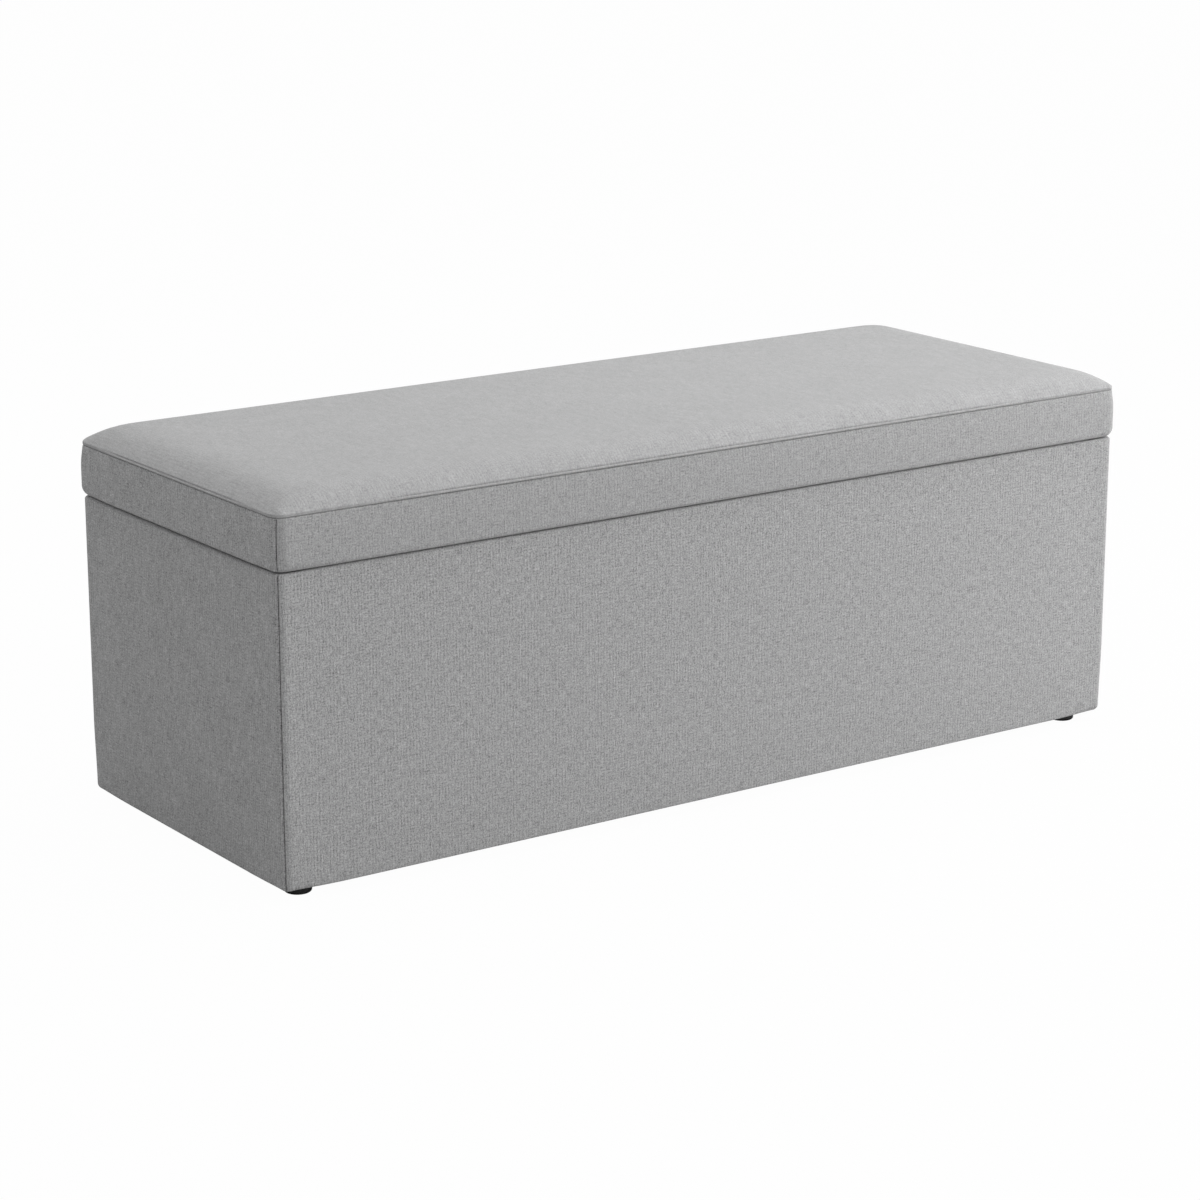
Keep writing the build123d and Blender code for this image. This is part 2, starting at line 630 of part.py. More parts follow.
def write(nodes):
    """One STEP file per node."""
    os.makedirs("parts", exist_ok=True)
    for name, shape in nodes.items():
        solids = shape if isinstance(shape, list) else shape.solids()
        body = solids[0] if len(solids) == 1 else Compound(children=list(solids))
        export_step(body, f"parts/{name}.step")


write(build())
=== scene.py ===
"""Looks of the upholstered storage bench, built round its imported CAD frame.

The grey cover is sewn from panels. Each panel is a grid laid over the padded form with its grooves and lips
in the mesh, then puffed out by 1.5 mm at most in a cloth simulation while its seams are held. The weave, the
linings and the hardware finishes are procedural. Lengths are millimetres unless a name or comment says so.
"""

import json
import math

import bpy
import numpy as np
from mathutils import Euler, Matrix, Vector


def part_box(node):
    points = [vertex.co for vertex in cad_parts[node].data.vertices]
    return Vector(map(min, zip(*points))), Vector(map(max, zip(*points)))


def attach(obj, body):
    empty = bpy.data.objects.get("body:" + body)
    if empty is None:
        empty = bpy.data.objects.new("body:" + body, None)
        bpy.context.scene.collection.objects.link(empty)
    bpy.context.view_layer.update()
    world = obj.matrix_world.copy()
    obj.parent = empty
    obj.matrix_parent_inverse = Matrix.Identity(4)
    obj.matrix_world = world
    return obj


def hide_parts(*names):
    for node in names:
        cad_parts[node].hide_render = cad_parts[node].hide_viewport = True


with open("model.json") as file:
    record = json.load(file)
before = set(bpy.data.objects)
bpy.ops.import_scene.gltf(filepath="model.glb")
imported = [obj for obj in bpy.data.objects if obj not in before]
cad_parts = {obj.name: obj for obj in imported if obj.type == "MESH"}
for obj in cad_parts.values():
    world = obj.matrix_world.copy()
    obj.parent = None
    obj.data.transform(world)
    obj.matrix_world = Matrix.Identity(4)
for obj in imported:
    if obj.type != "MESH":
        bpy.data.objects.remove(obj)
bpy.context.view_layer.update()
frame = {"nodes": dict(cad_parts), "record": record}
NODES = frame["nodes"]

MM = 0.001
SIDES = ("front", "right", "back", "left")

# ---- places read from the frame --------------------------------------------------------------


def low_high(node):
    """Lowest and highest corner of a CAD node, in millimetres."""
    low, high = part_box(node)
    return np.array(low) / MM, np.array(high) / MM


top_low, top_high = low_high("lid_top_panel")
band_low, _ = low_high("lid_band_front")
cover_low, cover_high = low_high("base_cover_front")
_, end_high = low_high("base_cover_right")
_, panel_high = low_high("base_panel_front")
foam_low, foam_high = low_high("lid_foam")
board_low, _ = low_high("lid_board")

LID_X, LID_Y = top_high[0], top_high[1]
SEAM_Z, CROWN_Z, LID_BOTTOM = top_low[2], top_high[2], band_low[2]
BASE_X, BASE_Y = end_high[0], -cover_low[1]
BASE_TOP, BASE_BOTTOM = cover_high[2], cover_low[2]
LID_TURN = LID_Y + low_high("lid_band_front")[1][1]  # how far the bands turn in under the lid
UNDER_TURN = BASE_Y + cover_high[1]  # and the box's covers in under the box
WELL_INSET = BASE_Y + panel_high[1]  # from the cover's face to the board's inner face

# ---- shape of the upholstery -----------------------------------------------------------------
LID_CORNER, BASE_CORNER = 16.0, 10.0
FABRIC = 1.3  # thickness of the cloth
STRIP, STRIP_RISE, STRIP_SWELL = 4.2, 3.6, 0.8  # roll of cloth from the seat's seam to its crease
CREASE_DEPTH, CREASE_WIDTH = 1.5, 0.6
EDGE_INSET = 1.8  # the seam lies this far in from the widest part of the bands
SEAM_DEPTH, SEAM_WIDTH = 0.9, 0.8  # how far the cloth is pulled in along a seam
SLIT_DEPTH, SLIT_WIDTH = 4.0, 0.12  # and the slit where its two edges turn in
CORNER_SEAM, CORNER_SLIT = 0.9, 0.2  # depth and width of an upright seam's groove, and its slit's width
CORNER_SWELL = (1.5, 1.1)  # how far folded cloth makes an upright seam stand out, on the box and the lid
CROWN = {"x": (70.0, 3.0), "y": (60.0, 3.5)}  # width of the seat's rounded edge and how fast it rises
HIP, HIP_BLEND = 0.48, 0.6  # how much of a ridge runs in from the seat's corners, and its rounding
CREST = 1.0  # rise over the middle of the seat
CORNER_FOOT = (8.0, 11.0)  # rounding under the bands, across and up, at the corners
PLAIN_FOOT = (5.0, 5.5)  # between the corners
HINGE_FOOT = (9.0, 9.0)  # and along the hinges
CORNER_RIM, PLAIN_RIM, END_RIM = 3.4, 3.0, 4.5  # rounding over the box's rim: corners, front and back, ends
CORNER_BASE, PLAIN_BASE, END_BASE = 7.0, 2.2, 5.0  # rounding under the box, in the same order
CORNER_REACH = 70.0  # how far a corner's shape runs in along each side
RIM_SWELL, END_SWELL = 2.2, 0.7  # how far the rim swells into the gap under the lid, at the front and the ends
CORNER_SHARE = 0.8  # share of the front's swelling at the corners
LID_LIFT = 0.7  # how far the bands bow up over it
RIM_DROP = 44.0  # how far the cover runs down inside the well
# Grid lines, as distances in from a panel's edge: closest together at the seams.
FINE = (0.0, 0.2, 0.5, 0.9, 1.4, 1.9, 2.5, 3.1, 3.7, 4.2, 4.7, 5.3, 6.0, 7.0, 8.5)
FINE += (11.0, 14.0, 18.0, 23.0, 29.0, 36.0, 46.0, 58.0, 72.0)


def spread(half, edge, step):
    """Grid lines from -half to half: the listed distances in from each end, then even steps between."""
    first = half - edge[-1]
    count = max(2, round(2 * first / step))
    middle = np.linspace(-first, first, count + 1)[1:-1]
    ends = half - np.array(edge)
    return np.concatenate([-ends, middle, ends[::-1]])


def round_plan(x, y, half_x, half_y, radius):
    """Moves points of a rectangle's grid so that its corners become arcs of the given radius."""
    a = np.clip((np.abs(x) - (half_x - radius)) / radius, 0, 1)
    b = np.clip((np.abs(y) - (half_y - radius)) / radius, 0, 1)
    shrink_x = a * radius * (1 - np.sqrt(1 - b * b / 2))
    shrink_y = b * radius * (1 - np.sqrt(1 - a * a / 2))
    return x - np.sign(x) * shrink_x, y - np.sign(y) * shrink_y


def side_points(side, part, inset, z, half_x, half_y, radius):
    """Points on one side of a rounded box. part runs from -1 to 1 along it; arrays are rows by columns."""
    hx, hy = half_x - inset, half_y - inset
    r = np.maximum(radius - inset, 0.4)
    x, y = {
        "front": (part * hx, -hy),
        "right": (hx, part * hy),
        "back": (-part * hx, hy),
        "left": (-hx, -part * hy),
    }[side]
    x, y = np.broadcast_arrays(x, y)
    x, y = round_plan(x, y, hx, hy, r)
    return np.stack([x, y, np.broadcast_to(z, x.shape)], axis=-1)


def groove(distance, depth, width):
    """Depth of a sewn groove at a distance from its middle."""
    return depth * np.exp(-((distance / width) ** 2))


def ramp(value, start, stop):
    """0 at start, 1 at stop, smooth between and flat beyond."""
    t = np.clip((value - start) / (stop - start), 0, 1)
    return t * t * (3 - 2 * t)


def lumps(x, y, size):
    """Slow, seamless unevenness of hand-laid padding, about -1 to 1."""
    return (
        np.sin(x / size + 1.3 * np.sin(y / (1.7 * size)))
        + np.sin(y / (0.8 * size) + 1.1 * np.sin(x / (2.1 * size)) + 2.0)
        + np.sin((x + y) / (1.4 * size) + 0.7)
    ) / 3


def cloth_length(inset, z):
    """Distance along a profile from its first point."""
    steps = np.hypot(np.diff(inset), np.diff(z))
    return np.concatenate([[0], np.cumsum(steps)])


# ---- meshes ----------------------------------------------------------------------------------


def new_mesh(name, points, faces, uv=None):
    """A smooth mesh from millimetre points, with the cloth's own coordinates as its UV map, in metres."""
    mesh = bpy.data.meshes.new(name)
    mesh.from_pydata((np.asarray(points) * MM).tolist(), [], faces)
    if uv is not None:
        layer = mesh.uv_layers.new(name="weave")
        corner = np.zeros(len(mesh.loops), int)
        mesh.loops.foreach_get("vertex_index", corner)
        layer.data.foreach_set("uv", (np.asarray(uv) * MM)[corner].ravel())
    mesh.polygons.foreach_set("use_smooth", [True] * len(mesh.polygons))
    mesh.update()
    piece = bpy.data.objects.new(name, mesh)
    bpy.context.scene.collection.objects.link(piece)
    return piece


def grid_faces(rows, columns, flip=False, start=0):
    """Quads of a rows by columns grid."""
    faces = []
    for r in range(rows - 1):
        below, above = start + r * columns, start + (r + 1) * columns
        for c in range(columns - 1):
            quad = (below + c, below + c + 1, above + c + 1, above + c)
            faces.append(quad[::-1] if flip else quad)
    return faces


def panel(name, points, uv, flip=False):
    """A sheet from a grid of points."""
    rows, columns = points.shape[:2]
    return new_mesh(name, points.reshape(-1, 3), grid_faces(rows, columns, flip), uv.reshape(-1, 2))


def grid_edge(rows, columns):
    """Rows and columns of the points round the edge of a grid, once round."""
    edge = [(0, c) for c in range(columns)]
    edge += [(r, columns - 1) for r in range(1, rows)]
    edge += [(rows - 1, c) for c in reversed(range(columns - 1))]
    edge += [(r, 0) for r in reversed(range(1, rows - 1))]
    return edge


def capped(name, top, loops, bottom):
    """A closed solid: a top grid, loops of points down from its edge, and a bottom grid facing down."""
    rows, columns = top.shape[:2]
    edge = [r * columns + c for r, c in grid_edge(rows, columns)]
    count = len(edge)
    first = rows * columns
    rings = [edge]
    rings += [list(range(first + i * count, first + (i + 1) * count)) for i in range(len(loops))]
    last = first + len(loops) * count
    rings.append([last + i for i in edge])
    faces = grid_faces(rows, columns)
    for upper, lower in zip(rings, rings[1:]):
        for i in range(count):
            j = (i + 1) % count
            faces.append((upper[j], upper[i], lower[i], lower[j]))
    faces += grid_faces(rows, columns, flip=True, start=last)
    points = np.concatenate([top.reshape(-1, 3), *loops, bottom.reshape(-1, 3)])
    return new_mesh(name, points, faces)


def thicken(piece, thickness):
    """Gives a sheet its thickness, inwards."""
    solidify = piece.modifiers.new("thickness", "SOLIDIFY")
    solidify.thickness = thickness * MM
    solidify.offset = -1.0
    solidify.use_even_offset = False


# ---- cloth simulation ------------------------------------------------------------------------
PUFF_FRAMES = 16
waiting = []


def puff(piece, free, pressure, limit):
    """Queues a panel for simulation. free is 0 where stitches or staples hold it and 1 elsewhere."""
    waiting.append((piece, 1 - np.clip(free.ravel(), 0, 1), pressure, limit * MM))


def add_cloth(piece, held, pressure):
    """Cloth modifier that inflates a panel from behind while its held points stay."""
    group = piece.vertex_groups.new(name="held")
    steps = np.round(held * 20).astype(int)
    for step in np.unique(steps):
        group.add(np.nonzero(steps == step)[0].tolist(), step / 20, "REPLACE")
    cloth = piece.modifiers.new("cloth", "CLOTH")
    settings = cloth.settings
    settings.quality = 5
    settings.mass = 0.4
    settings.tension_stiffness = 30
    settings.compression_stiffness = 30
    settings.shear_stiffness = 12
    settings.bending_stiffness = 3
    settings.air_damping = 4
    settings.vertex_group_mass = "held"
    settings.use_pressure = True
    settings.uniform_pressure_force = pressure
    settings.effector_weights.gravity = 0
    cloth.collision_settings.use_collision = False
    cloth.point_cache.frame_start = 1
    cloth.point_cache.frame_end = PUFF_FRAMES
    return cloth


def coordinates(mesh):
    """A mesh's points as rows."""
    flat = np.zeros(len(mesh.vertices) * 3)
    mesh.vertices.foreach_get("co", flat)
    return flat.reshape(-1, 3)


def run_cloth():
    """Simulates every queued panel at once and keeps each point's move, up to the panel's limit."""
    cloths = [add_cloth(piece, held, pressure) for piece, held, pressure, _ in waiting]
    scene = bpy.context.scene
    for number in range(1, PUFF_FRAMES + 1):
        scene.frame_set(number)
    graph = bpy.context.evaluated_depsgraph_get()
    moved = [coordinates(piece.evaluated_get(graph).data) for piece, *_ in waiting]
    for (piece, _, _, limit), cloth, after in zip(waiting, cloths, moved):
        piece.modifiers.remove(cloth)
        before = coordinates(piece.data)
        shift = after - before
        size = np.maximum(np.linalg.norm(shift, axis=1, keepdims=True), 1e-9)
        kept = before + shift / size * limit * np.tanh(size / limit)
        piece.data.vertices.foreach_set("co", kept.ravel())
        piece.data.update()
        piece.vertex_groups.clear()
    scene.frame_set(1)


# ---- lid cover -------------------------------------------------------------------------------
LID_COLUMNS = spread(LID_X, FINE, 10.0)
LID_ROWS = spread(LID_Y, FINE, 10.0)
LID_PARTS = {"x": LID_COLUMNS / LID_X, "y": LID_ROWS / LID_Y}


def rise(past, axis):
    """Share of the seat's height reached at a distance in from the crease."""
    width, power = CROWN[axis]
    return 1 - (1 - np.clip(past / width, 0, 1)) ** power


def smooth_lower(a, b, blend):
    """The lower of two values from 0 to 1, rounded over where they are close."""
    width = blend * np.maximum(np.minimum(a, b), 1e-6)
    near = np.maximum(width - np.abs(a - b), 0) / width
    return np.minimum(a, b) - near * near * width / 4


def crease_strength(x, y):
    """How sharp the crease over the seam is: it fades towards the corners."""
    front = ramp(LID_X - x, 120, 260) * ramp(LID_X + x, 90, 200)
    side = ramp(LID_Y - np.abs(y), 40, 120)
    return np.where(LID_Y - np.abs(y) < LID_X - np.abs(x), front, side)


def seat_surface(columns, rows, sink=0.0):
    """Grid of the seat's top panel inside its seam, sunk by a distance for the layers under it."""
    x, y = np.meshgrid(columns, rows)
    in_x, in_y = LID_X - np.abs(x), LID_Y - np.abs(y)
    nearest = np.minimum(in_x, in_y)
    past_x, past_y = np.maximum(in_x - STRIP, 0), np.maximum(in_y - STRIP, 0)
    strip = np.clip(nearest / STRIP, 0, 1)
    crease = crease_strength(x, y)
    edge = EDGE_INSET + groove(nearest, SEAM_DEPTH, SEAM_WIDTH) + groove(nearest, SLIT_DEPTH, SLIT_WIDTH)
    edge -= STRIP_SWELL * np.sin(math.pi * strip) * crease
    edge += groove(nearest - STRIP, CREASE_DEPTH, CREASE_WIDTH) * crease
    edge = edge * (1 - ramp(nearest, STRIP, 70)) + sink
    flat_x = np.sign(x) * (LID_X - past_x) * (LID_X - edge) / LID_X
    flat_y = np.sign(y) * (LID_Y - past_y) * (LID_Y - edge) / LID_Y
    flat_x, flat_y = round_plan(flat_x, flat_y, LID_X - edge, LID_Y - edge, LID_CORNER - edge)
    crown = CROWN_Z - CREST - SEAM_Z - STRIP_RISE
    rise_x, rise_y = rise(past_x, "x"), rise(past_y, "y")
    share = HIP * smooth_lower(rise_x, rise_y, HIP_BLEND) + (1 - HIP) * rise_x * rise_y
    middle = (1 - (x / LID_X) ** 2) * (1 - (y / LID_Y) ** 2)
    height = STRIP_RISE * strip + crown * share + CREST * share * middle
    height += 0.5 * lumps(x, y, 95.0) * share**3 - sink * ramp(nearest, 0, 20)
    height -= groove(nearest - STRIP, CREASE_DEPTH / 2, CREASE_WIDTH) * crease
    return np.stack([flat_x, flat_y, SEAM_Z + height], axis=-1), nearest


def lid_top():
    """The seat's top panel, held along its seam and crease."""
    points, nearest = seat_surface(LID_COLUMNS, LID_ROWS)
    uv = np.stack(np.meshgrid(LID_COLUMNS, LID_ROWS), axis=-1)
    piece = panel("lid_top_panel_cover", points, uv)
    puff(piece, (nearest - 9.0) / 40.0, 3.0, 1.5)
    return piece


def band_profile(foot, bottom):
    """Inset and height down a side band: seam, bulge, rounded foot, then in under the lid."""
    wide, tall = foot
    straight = SEAM_Z - bottom - tall
    down = np.concatenate([[0, 0.2, 0.5, 0.9, 1.4, 2.0, 3.0, 5.0], np.linspace(8.0, straight, 9)[:-1]])
    bulge = EDGE_INSET * (1 - down / 30.0) ** 2 * (down < 30)
    bulge += groove(down, SEAM_DEPTH, SEAM_WIDTH) + groove(down, SLIT_DEPTH, SLIT_WIDTH)
    turn = np.radians([0, 15, 30, 45, 60, 75, 90])
    foot_in = wide * (1 - np.cos(turn))
    foot_z = bottom + tall * (1 - np.sin(turn))
    under = np.linspace(wide, LID_TURN, 5)[1:]
    level = np.linspace(bottom, LID_BOTTOM, 3)
    inset = np.concatenate([bulge, foot_in, under])
    z = np.concatenate([SEAM_Z - down, foot_z, level[1:], [LID_BOTTOM] * 2])
    return inset, z


def side_panel(name, side, plain, corner, grid, box, show, swell):
    """One side of the lid or box from seam to seam, with one profile between the corners and one by them.

    show says how much of the corner seam there is at a point, and swell how far the corner stands out.
    """
    axis = "x" if side in ("front", "back") else "y"
    half = box[0] if axis == "x" else box[1]
    part = grid[axis][None, :]
    from_seam = (1 - np.abs(part)) * half
    by_corner = 1 - ramp(from_seam, 8.0, CORNER_REACH)
    inset, z = (c[:, None] * by_corner + p[:, None] * (1 - by_corner) for p, c in zip(plain, corner))
    seam = groove(from_seam, CORNER_SEAM, CORNER_SEAM) + groove(from_seam, SLIT_DEPTH, CORNER_SLIT)
    depth = inset + seam * show(inset, z) - groove(from_seam, 1.0, CORNER_REACH / 3) * swell(inset, z)
    points = side_points(side, part, depth, z, *box)
    length = cloth_length(*plain)
    u, v = np.broadcast_arrays(part * half, -length[:, None])
    piece = panel(name, points, np.stack([u, v], axis=-1), flip=True)
    return piece, from_seam, length[:, None], (length[-1] * MM, 2 * half * MM)


def lid_band(side):
    """One side band of the lid, turned under it. The hinged one stays clear of the box as it swings."""
    plain = band_profile(PLAIN_FOOT, LID_BOTTOM + LID_LIFT)
    if side == "back":
        plain = band_profile(HINGE_FOOT, LID_BOTTOM)
    corner = band_profile(CORNER_FOOT, LID_BOTTOM)

    def show(inset, z):
        return ramp(SEAM_Z - z, 0.5, 3.0) * ramp(z, LID_BOTTOM, LID_BOTTOM + 4)

    def swell(inset, z):
        return CORNER_SWELL[1] * ramp(SEAM_Z - z, 0, 22) * ramp(z, LID_BOTTOM, LID_BOTTOM + 12)

    name = f"lid_band_{side}_cover"
    box = (LID_X, LID_Y, LID_CORNER)
    piece, from_seam, length, flat = side_panel(name, side, plain, corner, LID_PARTS, box, show, swell)
    free = np.minimum.reduce(np.broadcast_arrays(length - 6.0, from_seam - 4.0, 50.0 - length))
    puff(piece, free / 12.0, 2.0, 1.0)
    return piece, flat


# ---- box cover -------------------------------------------------------------------------------
PLAIN_LINES = (0.0, 0.2, 0.5, 0.9, 1.6, 2.6, 3.8, 5.2, 7.0, 9.0, 12.0, 18.0, 29.0, 46.0, 72.0)
BASE_PARTS = {
    "x": spread(BASE_X, PLAIN_LINES, 12.0) / BASE_X,
    "y": spread(BASE_Y, PLAIN_LINES, 12.0) / BASE_Y,
}
WELL_TURN = 2.0  # rounding where the cover turns down into the well


def arc(centre, radius, start, stop, steps):
    """Inset and height along a turn, ends left out."""
    angle = np.radians(np.linspace(start, stop, steps + 2)[1:-1])
    return centre[0] + radius * np.cos(angle), centre[1] + radius * np.sin(angle)


def cover_profile(rim, top, foot):
    """Inset and height of the box's cover: from inside the well, over the rim, down and in underneath."""
    inner = WELL_INSET + 1.2
    runs = [
        (np.full(6, inner), np.linspace(BASE_TOP - RIM_DROP, BASE_TOP - 2.5, 6)),
        arc((inner - WELL_TURN, BASE_TOP - WELL_TURN), WELL_TURN, 0, 90, 2),
        (np.linspace(inner - 2.5, rim, 5), np.linspace(BASE_TOP, top, 5)),
        arc((rim, top - rim), rim, 90, 180, 5),
        (np.zeros(31), np.linspace(top - rim, BASE_BOTTOM + foot, 31)),
        arc((foot, BASE_BOTTOM + foot), foot, 180, 270, 5),
        (np.linspace(foot, UNDER_TURN, 6), np.full(6, BASE_BOTTOM)),
    ]
    inset = np.concatenate([run[0] for run in runs])
    z = np.concatenate([run[1] for run in runs])
    return inset, z


def base_cover(side):
    """One side of the box's cover, from inside the well to underneath."""
    rim, foot = (PLAIN_RIM, PLAIN_BASE) if side in ("front", "back") else (END_RIM, END_BASE)
    swell_up = {"front": RIM_SWELL, "back": 0.0}.get(side, END_SWELL)
    plain = cover_profile(rim, BASE_TOP + swell_up, foot)
    corner = cover_profile(CORNER_RIM, BASE_TOP + CORNER_SHARE * RIM_SWELL, CORNER_BASE)

    def show(inset, z):
        return ramp(inset, CORNER_RIM, 0)

    def swell(inset, z):
        return CORNER_SWELL[0] * ramp(inset, 20, 6) * ramp(z, BASE_BOTTOM + 5, BASE_BOTTOM + 90)

    name = f"base_cover_{side}_cloth"
    box = (BASE_X, BASE_Y, BASE_CORNER)
    piece, from_seam, length, flat = side_panel(name, side, plain, corner, BASE_PARTS, box, show, swell)
    inset, z = plain[0][:, None], plain[1][:, None]
    free = np.minimum.reduce(np.broadcast_arrays(BASE_TOP - 8.0 - z, z - 18.0, from_seam - 6.0))
    puff(piece, np.where(inset < 1.0, free, 0) / 60.0, 1.2, 1.0)
    return piece, flat


# ---- foam and wadding ------------------------------------------------------------------------


def block_lines(low, high, radius, step):
    """Positions along one axis of a rounded block's grid."""
    turn = np.array([0.0, 0.3, 0.6, 1.0]) * radius
    count = max(2, round((high - low - 2 * radius) / step))
    middle = np.linspace(low + radius, high - radius, count + 1)[1:-1]
    return np.concatenate([low + turn, middle, (high - turn)[::-1]])


def soft_block(name, low, high, radius, uneven):
    """A block of foam with rounded edges and slightly uneven faces."""
    lines = [block_lines(low[i], high[i], radius, 30.0) for i in range(3)]
    index, points, faces = {}, [], []

    def corner(i, j, k):
        if (i, j, k) not in index:
            index[i, j, k] = len(points)
            points.append((lines[0][i], lines[1][j], lines[2][k]))
        return index[i, j, k]

    last = [len(line) - 1 for line in lines]
    for axis in range(3):
        a, b = (axis + 1) % 3, (axis + 2) % 3
        for end in (0, last[axis]):
            for i in range(last[a]):
                for j in range(last[b]):
                    quad = []
                    for di, dj in ((0, 0), (1, 0), (1, 1), (0, 1)):
                        place = [0, 0, 0]
                        place[axis], place[a], place[b] = end, i + di, j + dj
                        quad.append(corner(*place))
                    faces.append(tuple(quad if end else quad[::-1]))
    points = np.array(points)
    core = np.clip(points, low + radius, high - radius)
    away = points - core
    size = np.maximum(np.linalg.norm(away, axis=1, keepdims=True), 1e-6)
    depth = radius - uneven * (1 + lumps(points[:, 0] + points[:, 2], points[:, 1] - points[:, 2], 40.0))
    return new_mesh(name, core + away / size * depth[:, None], faces)


def lid_wadding():
    """Wadding over the foam and down its sides: outside follows the cover, inside follows the foam.

    sides gives the height of each ring round the pad and how far out it stands.
    """
    coarse = (0.0, 2.0, STRIP, 7.0, 11.0, 18.0, 29.0, 46.0, 72.0)
    columns, rows = spread(LID_X, coarse, 40.0), spread(LID_Y, coarse, 40.0)
    top, _ = seat_surface(columns, rows, sink=FABRIC + 1.2)
    edge = np.array([top[r, c] for r, c in grid_edge(*top.shape[:2])])
    outer_x, outer_y = np.abs(edge[:, 0]).max(), np.abs(edge[:, 1]).max()
    loops = []
    sides = ((SEAM_Z - 19.5, 1.6), (SEAM_Z - 39.5, 1.6), (SEAM_Z - 49.5, -1.0), (board_low[2] + 1.0, -5.5))
    for z, out in sides:
        ring = edge.copy()
        ring[:, 0] *= 1 + (out - 1.5) / outer_x
        ring[:, 1] *= 1 + (out - 1.5) / outer_y
        ring[:, 2] = z
        loops.append(ring)
    inner_x, inner_y = foam_high[0] + 0.4, foam_high[1] + 0.4
    hollow = np.stack(np.meshgrid(columns / LID_X * inner_x, rows / LID_Y * inner_y), axis=-1)
    flat = np.concatenate([hollow, np.full(hollow.shape[:2] + (1,), foam_high[2] + 0.3)], axis=-1)
    for z in (board_low[2] + 1.0, foam_high[2] - 3.0):
        ring = np.array([flat[r, c] for r, c in grid_edge(*flat.shape[:2])])
        ring[:, 2] = z
        loops.append(ring)
    return capped("lid_wadding_pad", top, loops, flat)


FOAM_SHORT = 9.0  # the front and back foams stop short of the rounded corners


def make_padding():
    """The lid's wadding and foam block, and the thin foam on each side of the box."""
    pad = lid_wadding()
    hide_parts("lid_wadding")
    foam = soft_block("lid_foam_block", foam_low, foam_high, 5.0, 0.3)
    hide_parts("lid_foam")
    padding = [(pad, "lid", "wadding"), (foam, "lid", "foam")]
    for side in SIDES:
        low, high = low_high(f"base_foam_{side}")
        ends = (high - low) * (high - low > 1000) / 1000 * FOAM_SHORT
        sheet = soft_block(f"base_foam_{side}_sheet", low + ends, high - ends, 2.0, 0.2)
        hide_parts(f"base_foam_{side}")
        padding.append((sheet, "base", "foam"))
    for piece, body, slot in padding:
        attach(piece, body)
        piece.data.materials.append(finishes[slot])


# ---- linings ---------------------------------------------------------------------------------
HEM = 12.0
STAPLE_STEP = 76.0


def even_lines(low, high, step):
    """Evenly spaced positions about a step apart."""
    return np.linspace(low, high, max(2, round((high - low) / step)) + 1)


def flat_lining(name, node, face_up, sag, hold):
    """A stapled sheet lying level, held round its edge and slack in the middle. sag is signed."""
    low, high = low_high(node)
    x, y = np.meshgrid(even_lines(low[0], high[0], 9.0), even_lines(low[1], high[1], 9.0))
    from_edge = np.minimum.reduce([x - low[0], high[0] - x, y - low[1], high[1] - y])
    slack = ramp(from_edge, hold, hold + 60)
    ripple = 0.5 + 0.5 * lumps(x, y, 38.0)
    turn_x, turn_y = 2 * math.pi * x / STAPLE_STEP, 2 * math.pi * y / STAPLE_STEP
    pucker = 0.5 + 0.5 * np.sin(turn_x) * np.sin(turn_y)
    face = high[2] if face_up else low[2]
    z = face + sag * (slack * (0.4 + 0.6 * ripple) + 0.12 * ramp(from_edge, 0, hold) * pucker)
    piece = panel(name, np.stack([x, y, z], axis=-1), np.stack([x, y], axis=-1), flip=not face_up)
    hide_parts(node)
    thicken(piece, high[2] - low[2])
    return piece, ((high[1] - low[1]) * MM, (high[0] - low[0]) * MM)


def wall_lining():
    """Lining of the well's walls: one strip round it, with a folded hem along its top edge."""
    low, high = low_high("well_lining_walls")
    thick = 1.0
    half_x, half_y = high[0] - thick, high[1] - thick
    hem_z = high[2] - HEM
    heights = np.concatenate([even_lines(low[2], hem_z - 1, 12.0), hem_z + np.array([0.0, 0.8])])
    heights = np.concatenate([heights, even_lines(hem_z + 3, high[2] - 0.5, 3.0), [high[2]]])
    hem = ramp(heights, hem_z, hem_z + 0.8) * (1 - ramp(heights, high[2] - 0.6, high[2]))
    loop, length, done = [], [], 0.0
    for side, half in zip(SIDES, (half_x, half_y, half_x, half_y)):
        part = spread(half, (0.0, 1.0, 2.0, 3.0, 4.0, 8.0, 16.0), 12.0)[:-1] / half
        along = part[None, :] * half
        slack = ramp(BASE_TOP - RIM_DROP - heights, 4, 50) * ramp(heights - low[2], 2, 20)
        wave = 0.5 + 0.5 * lumps(along * 1.6, heights[:, None] * 0.5, 30.0)
        wave = wave * ramp(half - np.abs(along), 6, 40)
        inset = 0.8 * hem[:, None] - 1.2 * slack[:, None] * wave
        loop.append(side_points(side, part[None, :], inset, heights[:, None], half_x, half_y, 5.0))
        length.append(done + half + part * half)
        done += 2 * half
    points = np.concatenate(loop + [loop[0][:, :1]], axis=1)
    total = 4 * (half_x + half_y)
    u = np.concatenate(length + [[total]])
    u, v = np.broadcast_arrays(u[None, :], heights[:, None])
    piece = panel("well_lining_strip", points, np.stack([u, v], axis=-1))
    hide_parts("well_lining_walls")
    thicken(piece, thick)
    return piece, ((high[2] - low[2]) * MM, total * MM)


